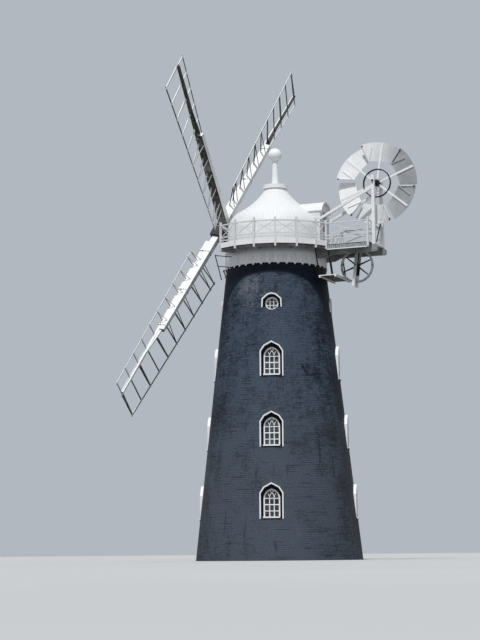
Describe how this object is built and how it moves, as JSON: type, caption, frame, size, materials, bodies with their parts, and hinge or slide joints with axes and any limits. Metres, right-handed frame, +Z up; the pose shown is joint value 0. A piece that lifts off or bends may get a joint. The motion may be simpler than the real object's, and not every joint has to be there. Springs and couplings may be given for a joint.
{
  "type": "tower windmill",
  "caption": "Traditional tapered brick windmill: round tower with pointed windows, turning ogee cap with gallery, fan stage, fantail and open lattice sails.",
  "frame": {"origin": "centre of the tower's foot, on the ground", "axes": "+Z up; the front column of windows faces -Y and the back door faces +Y; the cap's tail and fantail point towards +X, turned 16.3 degrees towards -Y"},
  "size_m": [12.5455, 17.2149, 22.9607],
  "materials": {
    "tarred_brick": "brick with worn black tar",
    "white_plaster": "painted cement moulding",
    "white_boards": "white paint on boards",
    "white_timber": "white gloss paint",
    "black_paint_timber": "black paint on boards",
    "bare_timber": "weathered timber",
    "black_iron": "black paint",
    "white_iron": "white paint",
    "clear_glass": "window glass"
  },
  "bodies": {
    "tower": {"wall_right": "tarred_brick", "wall_back_right": "tarred_brick", "wall_back": "tarred_brick", "wall_back_left": "tarred_brick", "wall_left": "tarred_brick", "wall_front_left": "tarred_brick", "wall_front": "tarred_brick", "wall_front_right": "tarred_brick", "curb": "bare_timber", "ground_floor": "bare_timber", "upper_floors": "bare_timber", "window_frames": "white_timber", "window_glass": "clear_glass", "window_hoods": "white_plaster", "door_frame": "white_timber", "back_door": "black_paint_timber"},
    "sails": {"windshaft": "black_iron", "inner_stock": "white_timber", "outer_stock": "white_timber", "sail_whips": "white_timber", "sail_frame_1": "white_timber", "sail_frame_2": "white_timber", "sail_frame_3": "white_timber", "sail_frame_4": "white_timber", "sail_straps": "black_iron"},
    "fan": {"fan_axle": "black_iron", "fan_arms": "white_timber", "fan_vanes": "white_timber", "fan_ring": "black_iron"},
    "chain_wheel": {"chain_wheel": "white_iron"},
    "cap": {"cap_wall": "white_boards", "cap_roof": "white_boards", "cap_front": "white_boards", "cap_door": "white_boards", "rear_dormer": "white_boards", "petticoat": "white_boards", "gallery_kickboards": "white_timber", "gallery_railing": "white_timber", "stage_deck": "white_timber", "stage_railing": "white_timber", "fan_posts": "white_timber", "fan_struts": "white_timber", "hanging_posts": "white_timber", "hanging_platform": "white_timber", "finial": "white_timber", "cap_floor": "bare_timber", "cap_frame": "bare_timber", "gallery_deck": "bare_timber", "gallery_joists": "bare_timber", "iron_braces": "black_iron", "platform_rods": "black_iron", "gallery_bracket": "black_iron", "shaft_bearings": "black_iron", "axle_plates": "black_iron", "cap_door_glass": "clear_glass"}
  },
  "joints": [
    {"name": "cap_yaw", "type": "hinge", "parent": "tower", "child": "cap", "pos_m": [0, 0, 13], "axis": [0, 0, 1], "continuous": true},
    {"name": "sail_spin", "type": "hinge", "parent": "cap", "child": "sails", "pos_m": [-2.62027, 0.76622, 14.48], "axis": [-0.936, 0.2737, 0.2215], "continuous": true},
    {"name": "fan_spin", "type": "hinge", "parent": "cap", "child": "fan", "pos_m": [4.53988, -1.32755, 16.136], "axis": [0.2807, 0.9598, 0], "continuous": true},
    {"name": "chain_wheel_spin", "type": "hinge", "parent": "cap", "child": "chain_wheel", "pos_m": [3.60887, -1.05531, 12.58], "axis": [0.2807, 0.9598, 0], "continuous": true}
  ]
}
